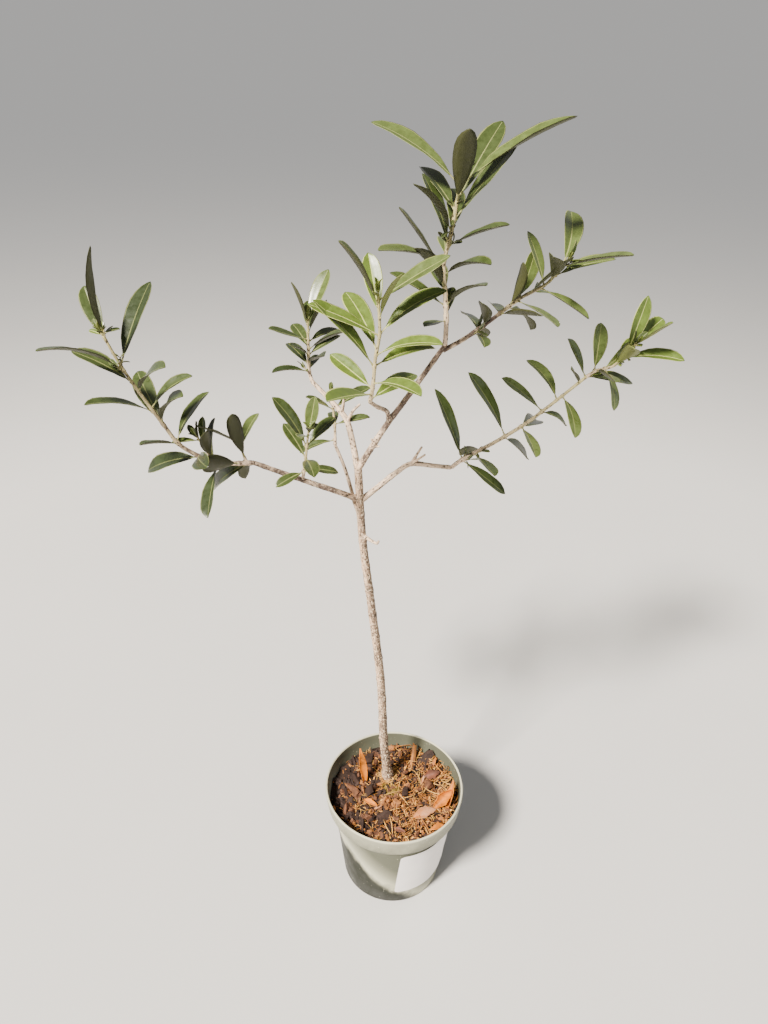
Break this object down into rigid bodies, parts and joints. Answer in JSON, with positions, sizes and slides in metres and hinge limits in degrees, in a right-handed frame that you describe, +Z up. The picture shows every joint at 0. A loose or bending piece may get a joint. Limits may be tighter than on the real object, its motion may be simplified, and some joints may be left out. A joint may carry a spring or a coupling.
{
  "type": "potted olive tree",
  "caption": "Small olive tree with a slender leaning trunk, thin spreading boughs and opposite narrow leaves, in a tapered round nursery pot with a rolled band under its rim.",
  "frame": {"origin": "centre of the pot's flat underside", "axes": "+Z up along the pot's axis and the tree's height, -Y towards the side of the blank label, +X to the right of the viewer on that side"},
  "size_m": [0.3533, 0.1619, 0.5702],
  "materials": {
    "pot_plastic": "satin grey-green moulded plastic",
    "compost": "loose bark mulch, brown fibre and dry leaves",
    "label_paper": "matte white paper, blank",
    "bark": "rough pale grey-beige bark with dark specks",
    "foliage": "leathery green leaves, glossy above and dull olive-brown beneath"
  },
  "bodies": {
    "root": {"pot": "pot_plastic", "compost": "compost", "label": "label_paper", "trunk": "bark", "bough_right": "bark", "bough_upper_left": "bark", "bough_left": "bark", "bough_middle_left": "bark", "bough_lower_right": "bark", "bough_centre": "bark", "leaves_leader": "foliage", "leaves_upper_right": "foliage", "leaves_lower_right": "foliage", "leaves_centre": "foliage", "leaves_upper_left": "foliage", "leaves_middle_left": "foliage", "leaves_front_left": "foliage", "leaves_left": "foliage"}
  },
  "joints": []
}
